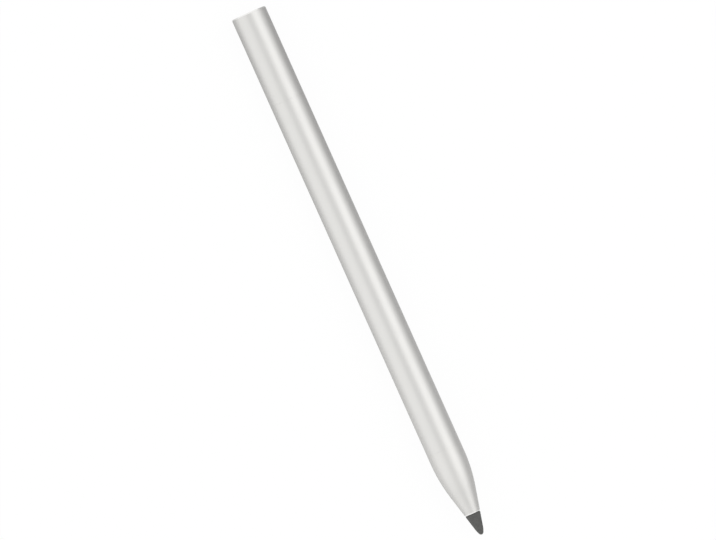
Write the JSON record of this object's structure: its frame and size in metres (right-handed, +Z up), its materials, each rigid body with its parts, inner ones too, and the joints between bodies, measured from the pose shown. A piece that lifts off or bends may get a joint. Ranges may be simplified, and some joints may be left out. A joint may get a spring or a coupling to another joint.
{
  "type": "stylus pen",
  "caption": "Slim round stylus pen with a tapered nose, a pressure-sensing pull-out nib, flush side keys and a sliding tail that uncovers a charging port.",
  "frame": {"origin": "middle of the pen's length, on the table under it as it lies on its side", "axes": "+X along the pen from tail to nib, +Z up, +Y across"},
  "size_m": [0.1442, 0.0092, 0.0092],
  "materials": {
    "silver_metal": "bead-blasted, anodised silver",
    "silver_paint": "satin silver paint on plastic",
    "nib_grey": "matte, fine-grained",
    "copper": "plated copper",
    "white_plastic": "plain moulded",
    "brass": "turned",
    "steel": "plain",
    "silicone": "matte",
    "black_plastic": "fine moulded texture",
    "circuit_green": "solder mask",
    "chip_black": "moulded package",
    "ceramic": "unglazed",
    "clear_plastic": "clear, polished",
    "cell_wrap": "can in a shrink wrap",
    "flex_amber": "polyimide film",
    "lead_red": "insulated wire",
    "lead_black": "insulated wire"
  },
  "bodies": {
    "barrel": {"antenna": "ceramic", "barrel": "silver_metal", "battery": "cell_wrap", "battery_board": "circuit_green", "battery_lead_black": "lead_black", "battery_lead_red": "lead_red", "charger_chip": "chip_black", "chassis": "black_plastic", "controller_chip": "chip_black", "flex_cable": "flex_amber", "force_sensor": "steel", "friction_ring": "silicone", "front_screw": "steel", "front_switch": "steel", "guide_bush": "white_plastic", "light_pipe": "clear_plastic", "main_board": "circuit_green", "neck": "black_plastic", "neck_seal": "silicone", "nib_spring": "steel", "nose_cone": "silver_paint", "port_board": "circuit_green", "port_insert": "black_plastic", "port_shell": "steel", "radio_chip": "chip_black", "rear_screw": "steel", "rear_switch": "steel", "sensor_board": "circuit_green", "sensor_cup": "black_plastic", "sensor_pad": "silicone", "status_led": "white_plastic", "stop_pin": "steel", "tail_board": "circuit_green", "tail_switch": "steel", "tilt_electrode": "copper"},
    "nib_carrier": {"nib_holder": "brass"},
    "nib": {"nib": "nib_grey"},
    "front_key": {"front_key": "silver_metal"},
    "rear_key": {"rear_key": "silver_metal"},
    "tail_sleeve": {"tail_sleeve": "silver_metal", "tail_spring": "steel"},
    "tail_button": {"tail_button": "silver_metal", "retaining_clip": "steel"}
  },
  "joints": [
    {"name": "nib_press", "type": "slide", "parent": "barrel", "child": "nib_carrier", "axis": [-1, 0, 0], "range_m": [0, 0.00015], "stiffness_N_per_m": 540, "springref_m": -0.0005, "deforming": ["nib_spring"]},
    {"name": "nib_pull", "type": "slide", "parent": "nib_carrier", "child": "nib", "axis": [1, 0, 0], "range_m": [0, 0.013]},
    {"name": "front_key_press", "type": "slide", "parent": "barrel", "child": "front_key", "axis": [0, 0.891, 0.454], "range_m": [0, 0.00025], "stiffness_N_per_m": 1500, "springref_m": -0.0002},
    {"name": "rear_key_press", "type": "slide", "parent": "barrel", "child": "rear_key", "axis": [0, 0.891, 0.454], "range_m": [0, 0.00025], "stiffness_N_per_m": 1500, "springref_m": -0.0002},
    {"name": "tail_slide", "type": "slide", "parent": "barrel", "child": "tail_sleeve", "axis": [-1, 0, 0], "range_m": [0, 0.01134]},
    {"name": "tail_button_press", "type": "slide", "parent": "tail_sleeve", "child": "tail_button", "axis": [1, 0, 0], "range_m": [0, 0.0004], "stiffness_N_per_m": 800, "springref_m": -0.0003, "deforming": ["tail_spring"]}
  ]
}
